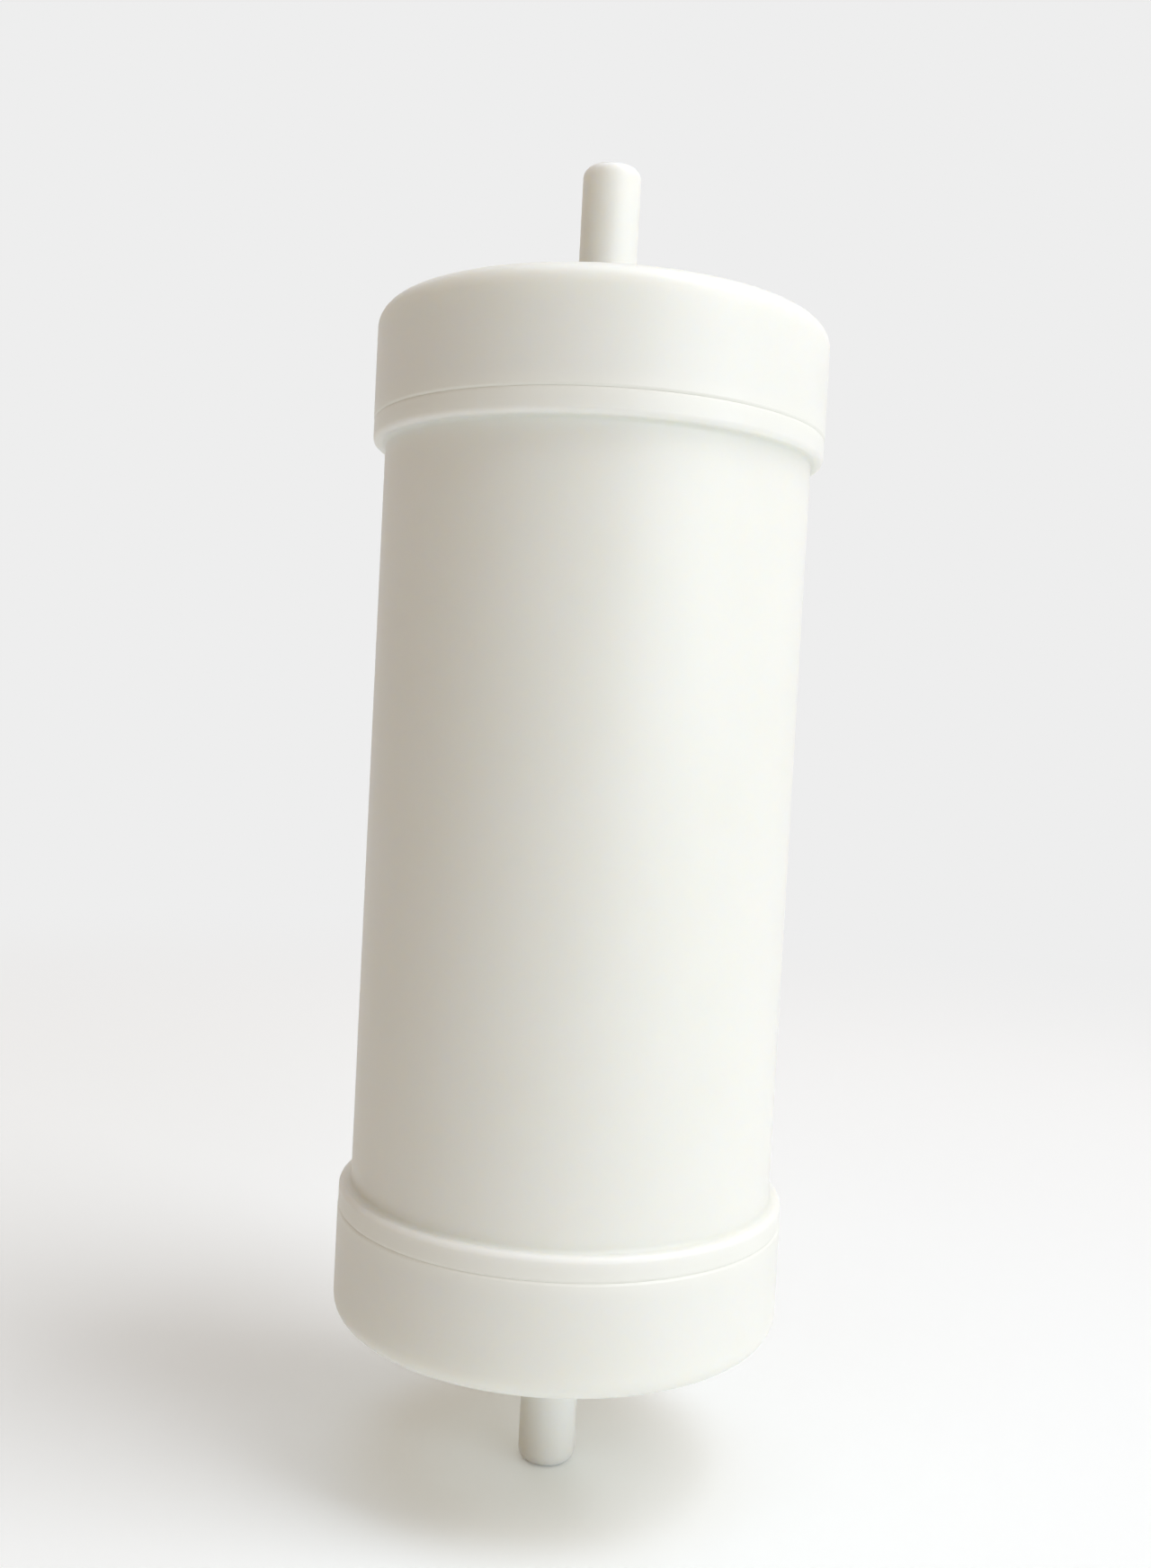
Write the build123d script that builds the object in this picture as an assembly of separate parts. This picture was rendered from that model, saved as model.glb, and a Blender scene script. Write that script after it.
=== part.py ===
# Ultrafiltration membrane cartridge: a welded tube, a push-fit stem at each end and potted hollow fibres.
# Millimetres. +Z runs along the axis from the inlet stem's tip, at the origin, to the outlet stem's tip.
import math
import os

from build123d import *

# Stems: plain quarter-inch spigots for push-fit tube fittings
stem_diameter = 6.35
stem_wall = 1.575
stem_length = 17.2
stem_tip_round = 1.2
tip_round_share = 0.8

# Housing shell: tube, stop collars with a flat ledge and a rounded edge, and thinner spigots for the caps
tube_diameter = 46.5
tube_wall = 2.25
seam_spacing = 85.2
collar_length = 2.5
collar_step = 1.3
collar_edge_round = 0.6
spigot_wall = 1.45

# End caps
cap_height = 12.0
cap_end_wall = 2.5
cap_edge_round = 2.2
cap_proud = 0.05
seam_gap = 0.2
rib_count = 6
rib_height = 1.5
rib_width = 1.4
well_radius = 5.0

# Each rounded edge is turned as this many narrow cones, which keeps the big rings light
round_flats = 3
collar_flats = 2

# Fits: welded or cast joints, and pieces dropped in loose
bond_gap = 0.05
loose_gap = 0.15

# Felt pad and grid, stacked between the inlet cap's ribs and the shell's end
pad_thickness = 2.0
grid_thickness = 1.5
grid_hub_radius = 5.5
grid_rim = 2.0
grid_spokes = 8
grid_spoke_width = 2.4

# Potting block and fibre bundle
potting_length = 16.0
feed_gap = 3.5
layer_thickness = 3.4
layer_gap = 0.8
bend_radius = 0.6
loop_clearance = 3.0

# Radii that follow from the sizes above
stem_radius = stem_diameter / 2
waterway_radius = stem_radius - stem_wall
tube_radius = tube_diameter / 2
bore_radius = tube_radius - tube_wall
spigot_radius = bore_radius + spigot_wall
socket_radius = spigot_radius + bond_gap
collar_radius = tube_radius + collar_step
cap_radius = collar_radius + cap_proud
disc_radius = socket_radius - loose_gap
bundle_radius = bore_radius - feed_gap

# Heights along the axis, from the inlet stem's tip
cap_face = stem_length
cap_floor = cap_face + cap_end_wall
rib_edge = cap_floor + rib_height
grid_base = rib_edge + pad_thickness
shell_base = grid_base + grid_thickness
inlet_seam = cap_face + cap_height
overall_length = 2 * inlet_seam + seam_spacing
shell_top = overall_length - shell_base
potting_base = shell_top - potting_length


def quarter_round(centre_radius, centre_height, size, start_angle, flats=round_flats):
    """Points of a quarter circle in the half section, from its start angle anticlockwise."""
    angles = [math.radians(start_angle + 90 * step / flats) for step in range(flats + 1)]
    return [(centre_radius + size * math.cos(a), centre_height + size * math.sin(a)) for a in angles]


def turned(outline):
    """Solid of revolution of a closed half section, given as (radius, height) points."""
    with BuildPart() as ring:
        with BuildSketch(Plane.XZ):
            with BuildLine():
                Polyline(*outline, close=True)
            make_face()
        revolve(axis=Axis.Z)
    return ring.part


def housing_shell():
    """Tube with a collar and a spigot at each end: the inlet end's outline, mirrored for the outlet end."""
    ledge = inlet_seam + collar_length
    edge_centre = (collar_radius - collar_edge_round, ledge - collar_edge_round)
    inlet_half = [
        (bore_radius, shell_base),
        (spigot_radius, shell_base),
        (spigot_radius, inlet_seam),
        (collar_radius, inlet_seam),
        *quarter_round(*edge_centre, collar_edge_round, 0, collar_flats),
        (tube_radius, ledge),
    ]
    outlet_half = [(radius, overall_length - height) for radius, height in reversed(inlet_half)]
    return turned(inlet_half + outlet_half)


def end_cap():
    """Inlet cap: stem with its waterway, rounded end face, socket for the spigot and ribs on the floor."""
    tip_round = min(stem_tip_round, tip_round_share * stem_wall)
    outline = [
        (waterway_radius, 0),
        *quarter_round(stem_radius - tip_round, tip_round, tip_round, -90),
        (stem_radius, cap_face),
        *quarter_round(cap_radius - cap_edge_round, cap_face + cap_edge_round, cap_edge_round, -90),
        (cap_radius, inlet_seam - seam_gap),
        (socket_radius, inlet_seam - seam_gap),
        (socket_radius, cap_floor),
        (waterway_radius, cap_floor),
    ]
    rib_reach = (socket_radius + cap_radius) / 2 - well_radius
    with BuildPart() as cap:
        add(turned(outline))
        with BuildSketch(Plane.XY.offset(cap_floor)):
            with PolarLocations(well_radius, rib_count):
                Rectangle(rib_reach, rib_width, align=(Align.MIN, Align.CENTER))
        extrude(amount=rib_height)
    return cap.part


def felt_pad():
    """Non-woven disc that lies on the inlet cap's ribs."""
    with BuildPart() as pad:
        with BuildSketch(Plane.XY.offset(rib_edge)):
            Circle(disc_radius)
        extrude(amount=pad_thickness)
    return pad.part


def inlet_grid():
    """Spoked plate held between the felt pad and the shell's end, with a blind hub facing the inlet."""
    with BuildPart() as grid:
        with BuildSketch(Plane.XY.offset(grid_base)):
            Circle(disc_radius)
            Circle(bore_radius - grid_rim, mode=Mode.SUBTRACT)
            Circle(grid_hub_radius)
            with PolarLocations(0, grid_spokes):
                Rectangle(bore_radius, grid_spoke_width, align=(Align.MIN, Align.CENTER))
        extrude(amount=grid_thickness)
    return grid.part


def fibre_layers():
    """Hollow fibres as nested U-shaped layers, each as wide as the round bundle lets it be."""
    pitch = layer_thickness + layer_gap
    count = int((bundle_radius - bend_radius + layer_gap) // pitch)
    outer_radii = [bend_radius + layer_thickness + row * pitch for row in range(count)]
    bend_height = shell_base + loop_clearance + outer_radii[-1]
    leg_length = shell_top - bend_height
    from_bend = (Align.CENTER, Align.MIN)
    layers = []
    for outer in outer_radii:
        inner = outer - layer_thickness
        with BuildPart() as layer:
            with BuildSketch(Plane.XZ):
                with Locations((0, bend_height)):
                    Circle(outer)
                    Rectangle(2 * outer, leg_length, align=from_bend)
                    Circle(inner, mode=Mode.SUBTRACT)
                    Rectangle(2 * inner, leg_length, align=from_bend, mode=Mode.SUBTRACT)
            extrude(amount=math.sqrt(bundle_radius**2 - outer**2), both=True)
        layers.append(layer.part)
    return layers


def potting_block(layers):
    """Resin plug cast in the outlet end of the shell round the fibre legs, cut flush with the shell's end."""
    with BuildPart() as block:
        with BuildSketch(Plane.XY.offset(potting_base)):
            Circle(bore_radius - bond_gap)
        extrude(amount=potting_length)
        add(layers, mode=Mode.SUBTRACT)
    return block.part


layers = fibre_layers()
pieces = {
    "housing_shell": housing_shell(),
    "inlet_end_cap": end_cap(),
    "outlet_end_cap": Pos(Z=overall_length) * Rot(X=180) * end_cap(),
    "inlet_felt_pad": felt_pad(),
    "inlet_grid": inlet_grid(),
    "fibre_bundle": Compound(children=layers),
    "potting_block": potting_block(layers),
}

os.makedirs("parts", exist_ok=True)
for node, piece in pieces.items():
    export_step(piece, f"parts/{node}.step")
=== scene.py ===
# Looks of an ultrafiltration membrane cartridge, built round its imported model
import math

import bpy
import numpy as np
from mathutils import Matrix, Vector


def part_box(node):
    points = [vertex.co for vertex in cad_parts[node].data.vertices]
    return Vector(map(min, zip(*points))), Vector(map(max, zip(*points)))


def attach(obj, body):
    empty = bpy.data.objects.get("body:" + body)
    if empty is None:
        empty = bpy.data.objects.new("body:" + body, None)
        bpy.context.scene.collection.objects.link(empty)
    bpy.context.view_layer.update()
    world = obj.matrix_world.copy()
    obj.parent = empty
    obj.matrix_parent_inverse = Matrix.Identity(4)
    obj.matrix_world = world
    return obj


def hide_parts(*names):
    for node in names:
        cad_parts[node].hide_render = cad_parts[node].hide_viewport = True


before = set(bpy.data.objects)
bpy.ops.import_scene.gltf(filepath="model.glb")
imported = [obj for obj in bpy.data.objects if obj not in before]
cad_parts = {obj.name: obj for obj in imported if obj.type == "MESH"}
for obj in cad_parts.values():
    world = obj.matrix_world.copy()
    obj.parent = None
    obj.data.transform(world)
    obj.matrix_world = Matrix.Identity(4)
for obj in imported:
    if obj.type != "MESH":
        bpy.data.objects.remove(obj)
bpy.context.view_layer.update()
mm = 0.001
print("frame loaded:", ", ".join(sorted(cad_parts)))


def hexColour(text):  # sRGB hex to linear RGBA
    channels = np.array([int(text[i:i + 2], 16) for i in (1, 3, 5)]) / 255
    linear = np.where(channels <= 0.04045, channels / 12.92, ((channels + 0.055) / 1.055) ** 2.4)
    return (*linear.tolist(), 1.0)


def perMetre(sizeMm):  # texture scale that makes a pattern about this many millimetres across
    return 1 / (sizeMm * mm)


def addNode(tree, kind, sockets=None, **settings):  # each socket is given a link or a value
    node = tree.nodes.new(kind)
    for name, value in settings.items():
        setattr(node, name, value)
    for name, value in (sockets or {}).items():
        if isinstance(value, bpy.types.NodeSocket):
            tree.links.new(value, node.inputs[name])
        else:
            node.inputs[name].default_value = value
    return node


def newMaterial(name):
    material = bpy.data.materials.new(name)
    material.use_nodes = True
    material.node_tree.nodes.clear()
    return material, material.node_tree


def nodeBox(node):  # a CAD node's corners in millimetres
    low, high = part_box(node)
    return np.array(low) / mm, np.array(high) / mm


def gridMesh(name, points, closedRows=True, closedColumns=True):
    # Points are rows x columns x 3 in millimetres, or many such grids, and each four neighbours make a face.
    # A closed direction joins its last line to its first.
    # A closed mesh with negative volume is turned inside out.
    rows, columns = points.shape[-3:-1]
    index = np.arange(rows * columns).reshape(rows, columns)
    lastRow = rows if closedRows else rows - 1
    lastColumn = columns if closedColumns else columns - 1
    nextRow = np.roll(index, -1, axis=0)
    nextColumn = np.roll(index, -1, axis=1)
    across = np.roll(nextRow, -1, axis=1)
    quads = np.stack([index, nextColumn, across, nextRow], axis=-1)[:lastRow, :lastColumn].reshape(-1, 4)
    corners = points.reshape(-1, 3) * mm
    firsts = np.arange(0, len(corners), rows * columns)
    quads = (quads + firsts[:, None, None]).reshape(-1, 4)
    a, b, c, d = (corners[quads[:, k]] for k in range(4))
    volume = (a * (np.cross(b, c) + np.cross(c, d))).sum()
    if closedRows and closedColumns and volume < 0:
        quads = quads[:, ::-1]
    mesh = bpy.data.meshes.new(name)
    mesh.from_pydata(corners.tolist(), [], quads.tolist())
    mesh.shade_smooth()
    piece = bpy.data.objects.new(name, mesh)
    bpy.context.scene.collection.objects.link(piece)
    return piece


def roundedOutline(corners, arcSteps=9, runSteps=6, support=0.12, mostShare=0.3):
    # A closed half section whose corners (radius, height, rounding) become circular arcs.
    # The arc's centre lies on the bisector of the corner's two sides, at rounding / sin(half angle) from
    # the corner, and its points turn evenly from one side to the other. Straight runs get points at the
    # support distance from both their ends, or at mostShare of a short run.
    corners = np.array(corners, float)
    tips, rounding = corners[:, :2], corners[:, 2]
    back = np.roll(tips, 1, axis=0) - tips
    ahead = np.roll(tips, -1, axis=0) - tips
    back /= np.linalg.norm(back, axis=1, keepdims=True)
    ahead /= np.linalg.norm(ahead, axis=1, keepdims=True)
    half = np.arccos(np.clip((back * ahead).sum(axis=1), -1, 1)) / 2
    bisector = (back + ahead) / np.linalg.norm(back + ahead, axis=1, keepdims=True)
    centre = tips + bisector * (rounding / np.sin(half))[:, None]
    reach = (rounding / np.tan(half))[:, None]
    first = np.arctan2(*(tips + back * reach - centre).T[::-1])
    last = np.arctan2(*(tips + ahead * reach - centre).T[::-1])
    turn = (last - first + math.pi) % (2 * math.pi) - math.pi
    angle = first[:, None] + turn[:, None] * np.linspace(0, 1, arcSteps)
    arcs = centre[:, None] + rounding[:, None, None] * np.stack([np.cos(angle), np.sin(angle)], axis=-1)
    leave = arcs[:, -1]
    run = np.roll(arcs[:, 0], -1, axis=0) - leave
    length = np.linalg.norm(run, axis=1)
    edge = np.minimum(support / length, mostShare)[:, None]
    share = edge + (1 - 2 * edge) * np.linspace(0, 1, runSteps)
    runs = leave[:, None] + run[:, None] * share[:, :, None]
    return np.concatenate([arcs, runs], axis=1).reshape(-1, 2)


def turned(outline, segments):
    # Each outline point (radius r, height h) is carried round the axis: x = r cos t, y = r sin t, z = h.
    angle = np.linspace(0, 2 * math.pi, segments, endpoint=False)
    radius, height = outline[:, :1], outline[:, 1:]
    return np.stack([radius * np.cos(angle), radius * np.sin(angle), height + 0 * angle], axis=-1)


shellLow, shellHigh = nodeBox("housing_shell")
inletHigh = nodeBox("inlet_end_cap")[1]
middle = (shellLow[2] + shellHigh[2]) / 2
collarRadius, capRadius = shellHigh[0], inletHigh[0]
seamGap = 0.2  # between the CAD cap's rim and the shell's collar
seamHeight = inletHigh[2] + seamGap  # the inlet's weld, at the collar's end

# Polypropylene, injection moulded in a satin-polished mould: milky white with a broad soft gloss
polypropyleneLook = {
    "white": "#f1f3ec",
    "shade": "#edefe6",  # slightly deeper where the moulding is thicker or older
    "roughness": (0.34, 0.46),
    "ior": 1.49,
    "cloudMm": 14.0,
    "peelMm": 0.45,  # orange peel left by the mould polish, drawn a little coarse so that it shows
    "peelHeightMm": 0.004,
    "peelRange": (0.25, 0.75),  # the part of the noise that spans the roughness
    "drawMm": 0.8,  # fine lines along the way the mould opened
    "drawHeightMm": 0.003,
    "drawStretch": 0.015,  # scale along the lines, as a share of the scale across them
    "glowMm": (2.4, 2.2, 1.9),  # how far light spreads inside, which lightens the thin stems
    "glow": 1.0,
    "weldMm": (0.4, 2.5),  # the glow rises over this way from a weld, where the two mouldings end
}


def mouldedPolypropylene(name, look):
    material, tree = newMaterial(name)
    place = addNode(tree, "ShaderNodeTexCoord").outputs["Object"]
    cloud = addNode(tree, "ShaderNodeTexNoise", {
        "Vector": place, "Scale": perMetre(look["cloudMm"]), "Detail": 3.0, "Roughness": 0.55})
    peel = addNode(tree, "ShaderNodeTexNoise", {
        "Vector": place, "Scale": perMetre(look["peelMm"]), "Detail": 2.0, "Roughness": 0.5})
    along = addNode(tree, "ShaderNodeMapping", {"Vector": place, "Scale": (1.0, 1.0, look["drawStretch"])})
    draw = addNode(tree, "ShaderNodeTexNoise", {
        "Vector": along.outputs["Vector"], "Scale": perMetre(look["drawMm"]),
        "Detail": 2.0, "Roughness": 0.6})
    colour = addNode(tree, "ShaderNodeMix", {
        0: cloud.outputs["Fac"], 6: hexColour(look["white"]), 7: hexColour(look["shade"])}, data_type="RGBA")
    least, most = look["peelRange"]
    low, high = look["roughness"]
    gloss = addNode(tree, "ShaderNodeMapRange", {
        "Value": peel.outputs["Fac"], "From Min": least, "From Max": most, "To Min": low, "To Max": high})
    drawBump = addNode(tree, "ShaderNodeBump", {
        "Height": draw.outputs["Fac"], "Distance": look["drawHeightMm"] * mm, "Strength": 1.0})
    peelBump = addNode(tree, "ShaderNodeBump", {
        "Height": peel.outputs["Fac"], "Distance": look["peelHeightMm"] * mm, "Strength": 1.0,
        "Normal": drawBump.outputs["Normal"]})
    # Height above the inlet's weld, folded at half the way to the outlet's, is the distance from the
    # nearest weld
    height = addNode(tree, "ShaderNodeSeparateXYZ", {"Vector": place})
    above = addNode(tree, "ShaderNodeMath", {
        0: height.outputs["Z"], 1: seamHeight * mm}, operation="SUBTRACT")
    weld = addNode(tree, "ShaderNodeMath", {
        0: above.outputs[0], 1: (middle - seamHeight) * mm}, operation="PINGPONG")
    near, far = look["weldMm"]
    glow = addNode(tree, "ShaderNodeMapRange", {
        "Value": weld.outputs[0], "From Min": near * mm, "From Max": far * mm, "To Max": look["glow"]},
        interpolation_type="SMOOTHSTEP")
    shader = addNode(tree, "ShaderNodeBsdfPrincipled", {
        "Base Color": colour.outputs[2], "Roughness": gloss.outputs["Result"], "IOR": look["ior"],
        "Subsurface Weight": glow.outputs["Result"], "Subsurface Radius": look["glowMm"],
        "Subsurface Scale": mm, "Normal": peelBump.outputs["Normal"]})
    addNode(tree, "ShaderNodeOutputMaterial", {"Surface": shader.outputs["BSDF"]})
    return material


whitePolypropylene = mouldedPolypropylene("polypropyleneMouldedWhite", polypropyleneLook)
print("polypropylene made")

# Housing shell: plain tube with a stop collar and a spigot at each end
housing = {
    "tubeRadius": 23.25,
    "boreRadius": 21.0,
    "spigotRadius": 22.45,
    "collarLength": 2.5,
    "collarRound": 0.6,
    "ledgeRound": 0.45,  # in the corner between the collar's ledge and the tube
    "seamWidth": 0.22,  # half of the shallow groove at the weld
    "seamDepth": 0.07,
    "grooveRound": 0.02,  # at the bottom of the groove
    "seamRound": 0.5,
    "insideRound": 0.15,
    "moltenRound": 0.08,  # rounding in sharp inner corners
    "segments": 288,
}


def shellOutline(h, seam):
    edge = h["insideRound"]
    half = [
        (h["boreRadius"], shellLow[2], edge),
        (h["spigotRadius"], shellLow[2], edge),
        (h["spigotRadius"], seam, h["moltenRound"]),
        (collarRadius - h["seamDepth"], seam, h["grooveRound"]),
        (collarRadius, seam + h["seamWidth"], h["seamRound"]),
        (collarRadius, seam + h["collarLength"], h["collarRound"]),
        (h["tubeRadius"], seam + h["collarLength"], h["ledgeRound"]),
    ]
    return half + [(r, 2 * middle - z, rounding) for r, z, rounding in reversed(half)]


shellSection = roundedOutline(shellOutline(housing, seamHeight))
shell = gridMesh("housingShell", turned(shellSection, housing["segments"]))
shell.data.materials.append(whitePolypropylene)
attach(shell, "root")
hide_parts("housing_shell")
print("housing shell:", len(shell.data.polygons), "faces")

# End caps: one moulding with its stem, used at both ends
endCap = {
    "stemRadius": 3.175,
    "waterwayRadius": 1.6,
    "stemLength": 17.2,
    "tipRound": 1.2,
    "endWall": 2.5,
    "edgeRound": 2.2,
    "socketRadius": 22.5,
    "seamWidth": 0.22,
    "seamDepth": 0.12,  # reaches the same radius as the shell's side of the groove
    "rimGap": 0.01,  # keeps the rim just off the collar
    "seamRound": 0.4,
    "grooveRound": 0.02,
    "insideRound": 0.15,
    "moltenRound": 0.12,
    "ribCount": 6,
    "ribHeight": 1.5,
    "ribWidth": 1.4,
    "ribFlank": 0.3,
    "wellRadius": 5.0,
    "segments": 288,
}


def capPoints(c, radius, rim):
    floor = c["stemLength"] + c["endWall"]
    outline = roundedOutline([
        (c["waterwayRadius"], 0, c["insideRound"]),
        (c["stemRadius"], 0, c["tipRound"]),
        (c["stemRadius"], c["stemLength"], c["moltenRound"]),
        (radius, c["stemLength"], c["edgeRound"]),
        (radius, rim - c["seamWidth"], c["seamRound"]),
        (radius - c["seamDepth"], rim, c["grooveRound"]),
        (c["socketRadius"], rim, c["insideRound"]),
        (c["socketRadius"], floor, c["moltenRound"]),
        (c["waterwayRadius"], floor, c["insideRound"]),
    ], runSteps=12)
    points = turned(outline, c["segments"])
    # Ribs stand on the floor where the distance from the nearest rib's centre line is under half a rib's
    # width, with flanks that fall off over a short way, from the well outwards
    turn = 2 * math.pi / c["ribCount"]
    angle = np.arctan2(points[..., 1], points[..., 0])
    aside = np.abs((angle + turn / 2) % turn - turn / 2)
    reach = np.hypot(points[..., 0], points[..., 1])
    flank = np.clip((c["ribWidth"] / 2 - reach * np.sin(aside)) / c["ribFlank"] + 0.5, 0, 1)
    well = np.clip((reach - c["wellRadius"]) / c["ribFlank"], 0, 1)
    tolerance = 1e-6  # how near to the floor's height counts as on it
    level = np.abs(outline[:, 1] - floor) < tolerance
    onFloor = level & (outline[:, 0] < c["socketRadius"] - c["moltenRound"])
    points[..., 2] += c["ribHeight"] * flank * well * onFloor[:, None]
    return points


inletPoints = capPoints(endCap, capRadius, seamHeight - endCap["rimGap"])
outletPoints = inletPoints * (1, -1, -1) + (0, 0, 2 * middle)  # the same moulding, turned over
for name, node, points in (
    ("inletEndCap", "inlet_end_cap", inletPoints),
    ("outletEndCap", "outlet_end_cap", outletPoints),
):
    cap = gridMesh(name, points)
    cap.data.materials.append(whitePolypropylene)
    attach(cap, "root")
    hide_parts(node)
    print(name + ":", len(cap.data.polygons), "faces")

# Inlet grid: moulded like the housing, but from natural polypropylene without pigment, so it looks milky
naturalLook = {
    **polypropyleneLook,
    "white": "#e8ebe8",
    "shade": "#dde2df",
    "glowMm": (4.0, 3.9, 3.6),
}


def dressNode(node, material):  # gives a CAD node a finish and leaves its shape alone
    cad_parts[node].data.materials.clear()
    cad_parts[node].data.materials.append(material)


dressNode("inlet_grid", mouldedPolypropylene("polypropyleneMouldedNatural", naturalLook))

# Felt: white polyester staple fibre, needled into a pad, which gives a matt nap with small dents
feltLook = {
    "nap": "#efeee8",
    # painted shade: the darker colour painted into the bottoms of the needle dents
    "dent": "#e4e2d9",
    "fibreMm": 0.5,  # tangled fibres, drawn about ten times as thick as they are so that they show
    "fibreHeightMm": 0.25,
    "needleMm": 1.8,
    "needleHeightMm": 0.1,
    "needleReach": (0.05, 0.4),  # a dent's bottom and edge, as shares of the spacing
    "roughness": 0.95,
    "sheen": 0.35,
    "specular": 0.2,
}


def needledFelt(look):
    material, tree = newMaterial("polyesterNeedledFelt")
    place = addNode(tree, "ShaderNodeTexCoord").outputs["Object"]
    tangle = addNode(tree, "ShaderNodeTexNoise", {
        "Vector": place, "Scale": perMetre(look["fibreMm"]),
        "Detail": 4.0, "Roughness": 0.65, "Distortion": 1.6})
    needle = addNode(tree, "ShaderNodeTexVoronoi", {"Vector": place, "Scale": perMetre(look["needleMm"])})
    bottom, edge = look["needleReach"]
    dent = addNode(tree, "ShaderNodeMapRange", {
        "Value": needle.outputs["Distance"], "From Min": bottom, "From Max": edge},
        interpolation_type="SMOOTHSTEP")
    # Painted shade in the needle dents: their bottoms are painted in the darker colour, mixed with the fibres'
    # own random tangle tone
    dentShadeAndTangle = addNode(tree, "ShaderNodeMath", {
        0: dent.outputs["Result"], 1: tangle.outputs["Fac"]}, operation="MULTIPLY")
    colour = addNode(tree, "ShaderNodeMix", {
        0: dentShadeAndTangle.outputs[0], 6: hexColour(look["dent"]), 7: hexColour(look["nap"])}, data_type="RGBA")
    dentBump = addNode(tree, "ShaderNodeBump", {
        "Height": dent.outputs["Result"], "Distance": look["needleHeightMm"] * mm, "Strength": 1.0})
    fibreBump = addNode(tree, "ShaderNodeBump", {
        "Height": tangle.outputs["Fac"], "Distance": look["fibreHeightMm"] * mm, "Strength": 1.0,
        "Normal": dentBump.outputs["Normal"]})
    shader = addNode(tree, "ShaderNodeBsdfPrincipled", {
        "Base Color": colour.outputs[2], "Roughness": look["roughness"], "Specular IOR Level": look["specular"],
        "Sheen Weight": look["sheen"], "Normal": fibreBump.outputs["Normal"]})
    addNode(tree, "ShaderNodeOutputMaterial", {"Surface": shader.outputs["BSDF"]})
    return material


dressNode("inlet_felt_pad", needledFelt(feltLook))

# Potting: two-part polyurethane resin, cast and then sawn flush, honey-coloured with fine saw lines on
# its cut face
resinLook = {
    "honey": "#e3cf9c",
    "amber": "#d2b778",
    "cloudMm": 9.0,
    "sawMm": 0.7,  # spacing of the saw lines
    "sawHeightMm": 0.015,
    "sawStretch": 0.02,  # scale along the lines, as a share of the scale across them
    "sawRange": (0.3, 0.7),  # the part of the noise that spans the roughness
    "roughness": (0.25, 0.45),
    "ior": 1.5,
    "glow": 0.4,
    "glowMm": (3.0, 2.2, 1.0),
}


def sawnResin(look):
    material, tree = newMaterial("polyurethaneCastSawn")
    place = addNode(tree, "ShaderNodeTexCoord").outputs["Object"]
    cloud = addNode(tree, "ShaderNodeTexNoise", {
        "Vector": place, "Scale": perMetre(look["cloudMm"]), "Detail": 4.0})
    along = addNode(tree, "ShaderNodeMapping", {"Vector": place, "Scale": (look["sawStretch"], 1.0, 1.0)})
    saw = addNode(tree, "ShaderNodeTexNoise", {
        "Vector": along.outputs["Vector"], "Scale": perMetre(look["sawMm"]),
        "Detail": 3.0, "Roughness": 0.6})
    colour = addNode(tree, "ShaderNodeMix", {
        0: cloud.outputs["Fac"], 6: hexColour(look["honey"]), 7: hexColour(look["amber"])}, data_type="RGBA")
    least, most = look["sawRange"]
    low, high = look["roughness"]
    gloss = addNode(tree, "ShaderNodeMapRange", {
        "Value": saw.outputs["Fac"], "From Min": least, "From Max": most, "To Min": low, "To Max": high})
    sawBump = addNode(tree, "ShaderNodeBump", {
        "Height": saw.outputs["Fac"], "Distance": look["sawHeightMm"] * mm, "Strength": 1.0})
    shader = addNode(tree, "ShaderNodeBsdfPrincipled", {
        "Base Color": colour.outputs[2], "Roughness": gloss.outputs["Result"], "IOR": look["ior"],
        "Subsurface Weight": look["glow"], "Subsurface Radius": look["glowMm"], "Subsurface Scale": mm,
        "Normal": sawBump.outputs["Normal"]})
    addNode(tree, "ShaderNodeOutputMaterial", {"Surface": shader.outputs["BSDF"]})
    return material


dressNode("potting_block", sawnResin(resinLook))
print("grid, felt and resin finished")

# Fibre bundle: hollow fibres bent into a U, in two rows to each layer of the potting's slots
bundle = {
    "bundleRadius": 17.5,
    "layerCount": 4,
    "layerPitch": 4.2,
    "rowInset": (0.85, 2.55),  # from a layer's outer face to the middle of each row
    "fibreRadius": 0.8,  # about twice the real size, so that single fibres show
    "lumenRadius": 0.45,
    "pitch": 1.75,
    "crimp": 0.1,  # gentle waves left by spinning, which die out towards the potting
    "crimpLength": 19.0,
    "crimpShift": 2.4,  # radians from one fibre's waves to the next one's
    "legSteps": 9,
    "bendSteps": 13,
    "around": 8,
}


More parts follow.
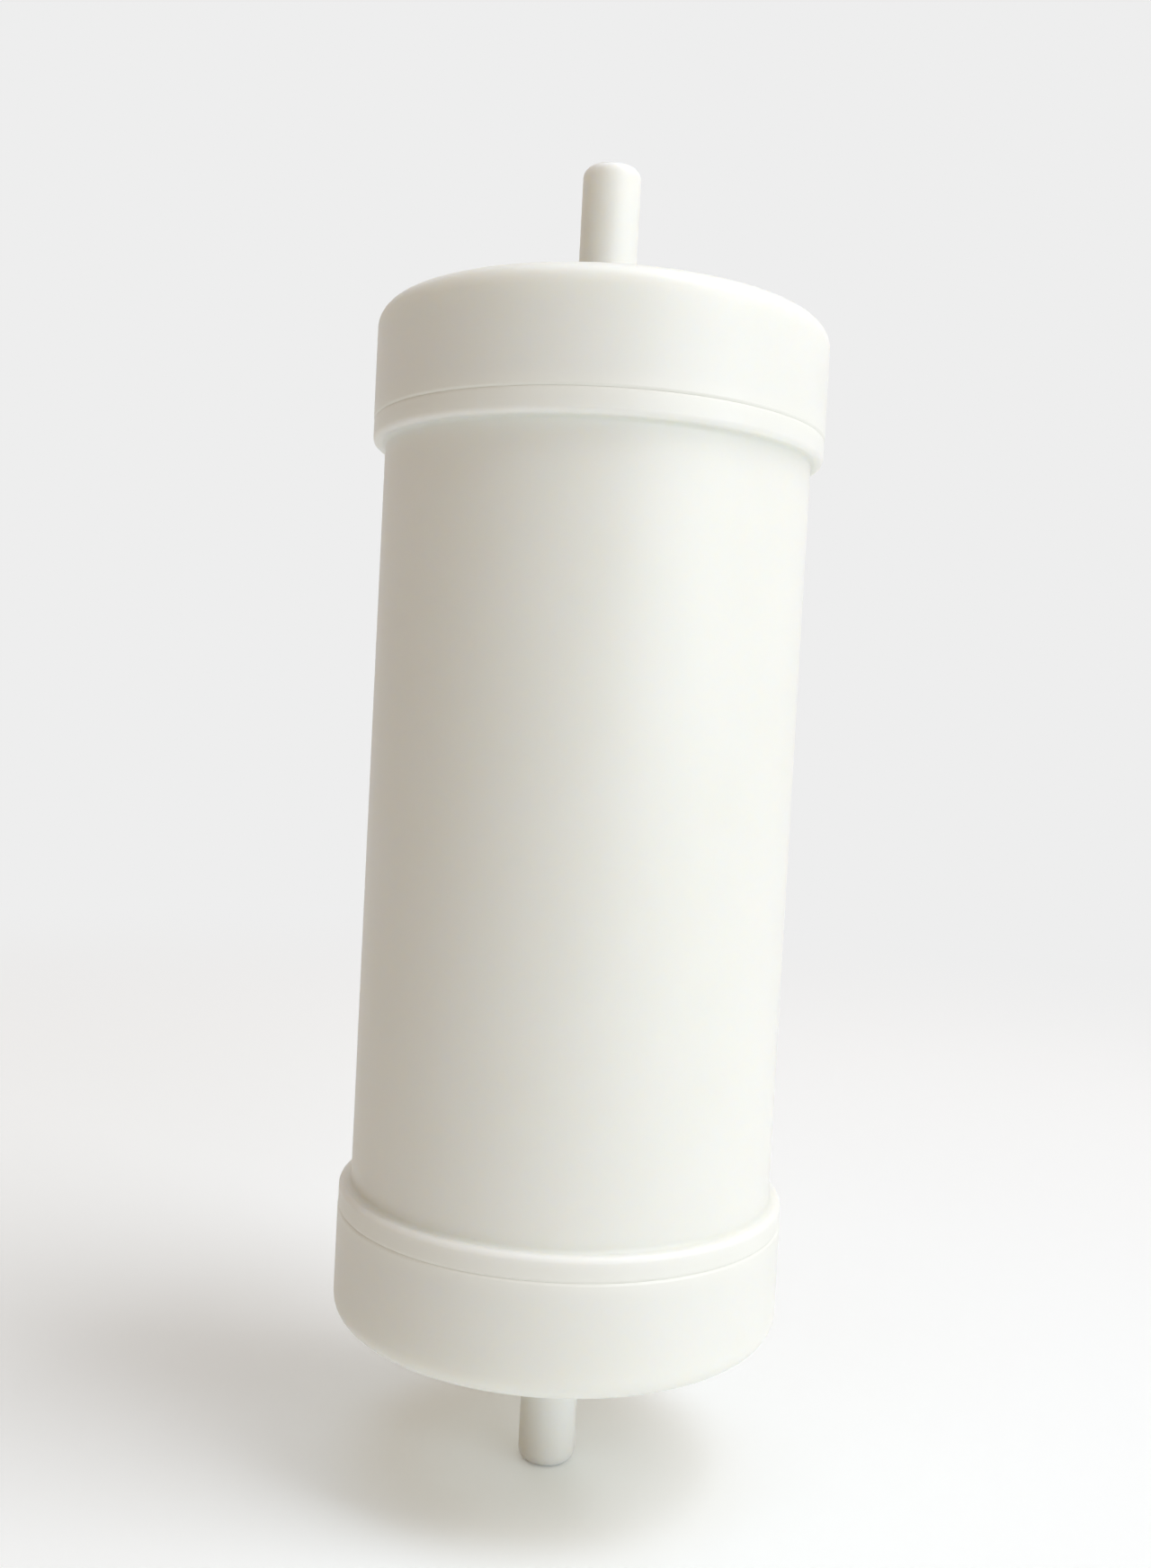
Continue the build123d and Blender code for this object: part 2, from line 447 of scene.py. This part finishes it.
def fibreWalls(b):
    # A fibre lies in a plane y = aside: x = R cos a, z = bend + R sin a + rise, where a turns from pi to 2 pi
    # round the bend, and the rise grows along the legs. Its section is a circle across that path, and the rows
    # go along the outer wall and come back along the lumen's wall.
    low, high = nodeBox("fibre_bundle")
    outer = high[0] - b["layerPitch"] * np.arange(b["layerCount"])
    half = np.sqrt(b["bundleRadius"] ** 2 - outer**2) - b["fibreRadius"]
    lines = np.array([
        (edge - inset, aside)
        for edge, reach in zip(outer, half)
        for inset in b["rowInset"]
        for aside in np.linspace(-reach, reach, int(2 * reach // b["pitch"]) + 1)
    ])
    radius, aside = lines[:, :1], lines[:, 1:]
    bend = low[2] + outer[0]
    leg = high[2] - bend
    up = leg * np.arange(1, b["legSteps"] + 1) / b["legSteps"]
    rise = np.concatenate([up[::-1], np.zeros(b["bendSteps"]), up])
    ends = np.full(b["legSteps"], math.pi)
    angle = np.concatenate([ends, np.linspace(math.pi, 2 * math.pi, b["bendSteps"]), 2 * ends])
    phase = b["crimpShift"] * np.arange(len(lines))[:, None]
    wave = 2 * math.pi * (rise + radius * angle) / b["crimpLength"] + phase
    sway = b["crimp"] * (1 - (rise / leg) ** 2)
    away = radius + sway * np.sin(wave)
    path = np.stack([
        away * np.cos(angle), aside + sway * np.cos(wave), bend + away * np.sin(angle) + rise], axis=-1)
    across = np.stack([np.cos(angle), 0 * angle, np.sin(angle)], axis=-1)
    order = np.concatenate([np.arange(len(angle)), np.arange(len(angle))[::-1]])
    wall = np.repeat([b["fibreRadius"], b["lumenRadius"]], len(angle))
    turn = np.linspace(0, 2 * math.pi, b["around"], endpoint=False)
    ring = np.cos(turn)[:, None] * across[order][:, None] + np.sin(turn)[:, None] * np.array([0.0, 1.0, 0.0])
    return path[:, order, None] + wall[:, None, None] * ring


# Polysulphone, spun into hollow fibre: dull white, with fine lines along each fibre
fibreLook = {
    "white": "#f0efe9",
    "shade": "#e1dfd5",
    "lineMm": 0.35,
    "lineHeightMm": 0.02,
    "lineStretch": 0.04,  # scale along the lines, as a share of the scale across them
    "roughness": 0.75,
    "ior": 1.63,
}


def spunFibre(look):
    material, tree = newMaterial("polysulphoneSpunFibre")
    place = addNode(tree, "ShaderNodeTexCoord").outputs["Object"]
    along = addNode(tree, "ShaderNodeMapping", {"Vector": place, "Scale": (1.0, 1.0, look["lineStretch"])})
    line = addNode(tree, "ShaderNodeTexNoise", {
        "Vector": along.outputs["Vector"], "Scale": perMetre(look["lineMm"]),
        "Detail": 3.0, "Roughness": 0.6})
    colour = addNode(tree, "ShaderNodeMix", {
        0: line.outputs["Fac"], 6: hexColour(look["white"]), 7: hexColour(look["shade"])}, data_type="RGBA")
    bump = addNode(tree, "ShaderNodeBump", {
        "Height": line.outputs["Fac"], "Distance": look["lineHeightMm"] * mm, "Strength": 1.0})
    shader = addNode(tree, "ShaderNodeBsdfPrincipled", {
        "Base Color": colour.outputs[2], "Roughness": look["roughness"], "IOR": look["ior"],
        "Normal": bump.outputs["Normal"]})
    addNode(tree, "ShaderNodeOutputMaterial", {"Surface": shader.outputs["BSDF"]})
    return material


fibres = gridMesh("hollowFibres", fibreWalls(bundle))
fibres.data.materials.append(spunFibre(fibreLook))
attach(fibres, "root")
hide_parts("fibre_bundle")
print("hollow fibres:", len(fibres.data.polygons), "faces")

# White paper: a floor that keeps the shadow near the object and fades into the pale backdrop further out
paper = {
    "tone": "#f6fafa",
    "backdrop": "#eeeeee",
    "halfWidthMm": 1600.0,
    "fadeMm": (170.0, 480.0),
    "lift": 0.1,  # light of its own where it is seen, which opens up the shadow
    "roughness": 0.9,
    "specular": 0.1,
    "grainMm": 0.6,
    "grainHeightMm": 0.02,
    "grainStrength": 0.3,
}


def seenDirectly(tree):
    # 1 for what the camera, a reflection or a see-through piece looks at, 0 for what lights it
    path = addNode(tree, "ShaderNodeLightPath").outputs
    mirrored = addNode(tree, "ShaderNodeMath", {
        0: path["Is Camera Ray"], 1: path["Is Glossy Ray"]}, operation="MAXIMUM")
    return addNode(tree, "ShaderNodeMath", {
        0: mirrored.outputs[0], 1: path["Is Transmission Ray"]}, operation="MAXIMUM").outputs[0]


def whitePaper(p):
    material, tree = newMaterial("whitePaper")
    place = addNode(tree, "ShaderNodeTexCoord").outputs["Object"]
    grain = addNode(tree, "ShaderNodeTexNoise", {
        "Vector": place, "Scale": perMetre(p["grainMm"]), "Detail": 2.0})
    bump = addNode(tree, "ShaderNodeBump", {
        "Height": grain.outputs["Fac"], "Distance": p["grainHeightMm"] * mm, "Strength": p["grainStrength"]})
    seen = seenDirectly(tree)
    lift = addNode(tree, "ShaderNodeMath", {0: seen, 1: p["lift"]}, operation="MULTIPLY")
    sheet = addNode(tree, "ShaderNodeBsdfPrincipled", {
        "Base Color": hexColour(p["tone"]), "Roughness": p["roughness"], "Specular IOR Level": p["specular"],
        "Emission Color": hexColour(p["tone"]), "Emission Strength": lift.outputs[0],
        "Normal": bump.outputs["Normal"]})
    away = addNode(tree, "ShaderNodeVectorMath", {0: place}, operation="LENGTH")
    near, far = p["fadeMm"]
    fade = addNode(tree, "ShaderNodeMapRange", {
        "Value": away.outputs["Value"], "From Min": near * mm, "From Max": far * mm},
        interpolation_type="SMOOTHSTEP")
    share = addNode(tree, "ShaderNodeMath", {0: fade.outputs["Result"], 1: seen}, operation="MULTIPLY")
    backdrop = addNode(tree, "ShaderNodeEmission", {"Color": hexColour(p["backdrop"]), "Strength": 1.0})
    both = addNode(tree, "ShaderNodeMixShader", {
        0: share.outputs[0], 1: sheet.outputs["BSDF"], 2: backdrop.outputs["Emission"]})
    addNode(tree, "ShaderNodeOutputMaterial", {"Surface": both.outputs["Shader"]})
    return material


# A flat square at the height of the stem's tip
edges = paper["halfWidthMm"] * np.array([-1.0, 1.0])
paperPoints = np.stack([*np.meshgrid(edges, edges), np.zeros((2, 2))], axis=-1)
floor = gridMesh("paperFloor", paperPoints, closedRows=False, closedColumns=False)
floor.data.materials.append(whitePaper(paper))
print("paper laid")

# Light: a low wide window in front to the right, a high one further right, which casts the shadow, open
# sky above, and warm light all round. A dim lamp behind brightens the far side and stays out of
# reflections, where it would draw a line along the edge.
light = {
    "window": {"turnDeg": 46.0, "riseDeg": 10.0, "awayMm": 1500.0, "sizeMm": (1580.0, 470.0),
               "watts": 10.2, "colour": "#e8f2ff", "mirrored": True},
    "side": {"turnDeg": 66.0, "riseDeg": 56.0, "awayMm": 1500.0, "sizeMm": (800.0, 1000.0),
             "watts": 12.2, "colour": "#f5f8ff", "mirrored": True},
    "sky": {"turnDeg": 0.0, "riseDeg": 88.0, "awayMm": 1500.0, "sizeMm": (1280.0, 1280.0),
            "watts": 9.0, "colour": "#d6ebff", "mirrored": True},
    "back": {"turnDeg": 190.0, "riseDeg": 10.0, "awayMm": 1500.0, "sizeMm": (1000.0, 470.0),
             "watts": 6.0, "colour": "#f2f5ff", "mirrored": False},
    "room": {"colour": "#ffbf59", "strength": 0.222},
}


def areaLamp(name, lampLook, height):
    # Turned to the right of the camera's side, raised, and aimed at this height on the axis
    turn, rise = math.radians(lampLook["turnDeg"]), math.radians(lampLook["riseDeg"])
    aim = Vector((math.cos(rise) * math.sin(turn), -math.cos(rise) * math.cos(turn), math.sin(rise)))
    lamp = bpy.data.lights.new(name + "Light", "AREA")
    lamp.shape = "RECTANGLE"
    lamp.size, lamp.size_y = (length * mm for length in lampLook["sizeMm"])
    lamp.energy = lampLook["watts"]
    lamp.color = hexColour(lampLook["colour"])[:3]
    holder = bpy.data.objects.new(name + "Light", lamp)
    bpy.context.scene.collection.objects.link(holder)
    holder.location = Vector((0, 0, height * mm)) + aim * lampLook["awayMm"] * mm
    holder.rotation_euler = aim.to_track_quat("Z", "Y").to_euler()
    holder.visible_glossy = lampLook["mirrored"]


for name in ("window", "side", "sky", "back"):
    areaLamp(name, light[name], middle)
world = bpy.data.worlds.new("room")
bpy.context.scene.world = world
world.use_nodes = True
world.node_tree.nodes.clear()
room = addNode(world.node_tree, "ShaderNodeBackground", {
    "Color": hexColour(light["room"]["colour"]), "Strength": light["room"]["strength"]})
backdrop = addNode(world.node_tree, "ShaderNodeBackground", {
    "Color": hexColour(paper["backdrop"]), "Strength": 1.0})
surround = addNode(world.node_tree, "ShaderNodeMixShader", {
    0: seenDirectly(world.node_tree), 1: room.outputs["Background"], 2: backdrop.outputs["Background"]})
addNode(world.node_tree, "ShaderNodeOutputWorld", {"Surface": surround.outputs["Shader"]})
print("lights set")

# Camera: a close upright shot from a little above half the height, held slightly turned
photoView = {
    "placeMm": (-0.58, -163.43, 82.25),
    "pitchDeg": 2.14,
    "leanDeg": 2.98,
    "focalPixels": 1634.7,
    "heightPixels": 1743,
    "sensorMm": 36.0,
    "nearestMm": 5.0,
}


def photoCamera(v):
    pitch, lean = math.radians(v["pitchDeg"]), math.radians(v["leanDeg"])
    ahead = Vector((0, math.cos(pitch), -math.sin(pitch)))
    levelRight = Vector((1, 0, 0))
    levelUp = levelRight.cross(ahead)
    right = levelRight * math.cos(lean) + levelUp * math.sin(lean)
    up = levelUp * math.cos(lean) - levelRight * math.sin(lean)
    camera = bpy.data.cameras.new("photoCamera")
    camera.sensor_fit = "VERTICAL"
    camera.sensor_height = v["sensorMm"]
    camera.lens = v["focalPixels"] / v["heightPixels"] * v["sensorMm"]
    camera.clip_start = v["nearestMm"] * mm
    holder = bpy.data.objects.new("photoCamera", camera)
    bpy.context.scene.collection.objects.link(holder)
    turn = Matrix((right, up, -ahead)).transposed()
    holder.matrix_world = Matrix.Translation(Vector(v["placeMm"]) * mm) @ turn.to_4x4()
    bpy.context.scene.camera = holder


photoCamera(photoView)
bpy.context.scene.view_settings.view_transform = "Standard"
print("camera set")
